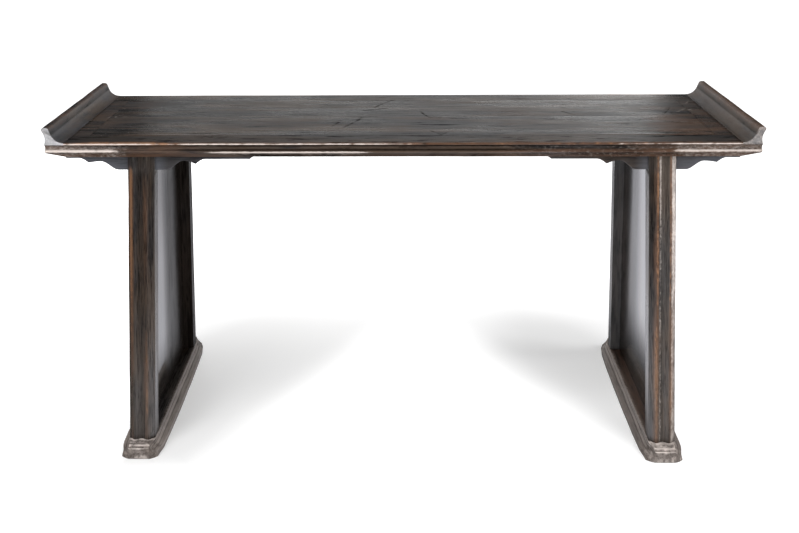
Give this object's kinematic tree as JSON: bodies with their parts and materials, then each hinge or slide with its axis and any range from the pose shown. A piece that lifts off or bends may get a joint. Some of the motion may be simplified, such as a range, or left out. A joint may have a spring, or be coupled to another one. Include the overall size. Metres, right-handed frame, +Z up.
{
  "type": "painting table",
  "caption": "Lacquered wooden table with upturned end flanges, cusped aprons, splayed moulded legs, side panels and shoe feet, for painting, writing or display.",
  "frame": {"origin": "on the floor, under the middle of the table", "axes": "+X along the table's length towards its right end, +Y from the front to the back, +Z up"},
  "size_m": [1.805, 0.752, 0.887],
  "materials": {
    "top_lacquer": "aged black-brown lacquer over long open grain, semi-gloss with dull patches",
    "edge_lacquer": "black-brown lacquer worn to orange-brown wood along the beads",
    "leg_lacquer": "black-brown lacquer worn to red-brown wood on the rolls",
    "dark_lacquer": "near-black glossy lacquer with fine vertical grain",
    "shoe_lacquer": "grey-brown scuffed lacquer, pale along the arrises",
    "bare_wood": "unlacquered softwood, dry and dull"
  },
  "bodies": {
    "root": {"front_rail": "edge_lacquer", "back_rail": "edge_lacquer", "left_end_rail": "top_lacquer", "right_end_rail": "top_lacquer", "left_flange": "top_lacquer", "right_flange": "top_lacquer", "front_board": "top_lacquer", "back_board": "top_lacquer", "outer_left_brace": "bare_wood", "inner_left_brace": "bare_wood", "inner_right_brace": "bare_wood", "outer_right_brace": "bare_wood", "front_apron": "dark_lacquer", "back_apron": "dark_lacquer", "left_end_apron": "dark_lacquer", "right_end_apron": "dark_lacquer", "front_left_leg": "leg_lacquer", "front_right_leg": "leg_lacquer", "back_left_leg": "leg_lacquer", "back_right_leg": "leg_lacquer", "left_side_panel": "dark_lacquer", "right_side_panel": "dark_lacquer", "left_side_rail": "dark_lacquer", "right_side_rail": "dark_lacquer", "left_shoe": "shoe_lacquer", "right_shoe": "shoe_lacquer", "corner_pegs": "bare_wood"}
  },
  "joints": []
}
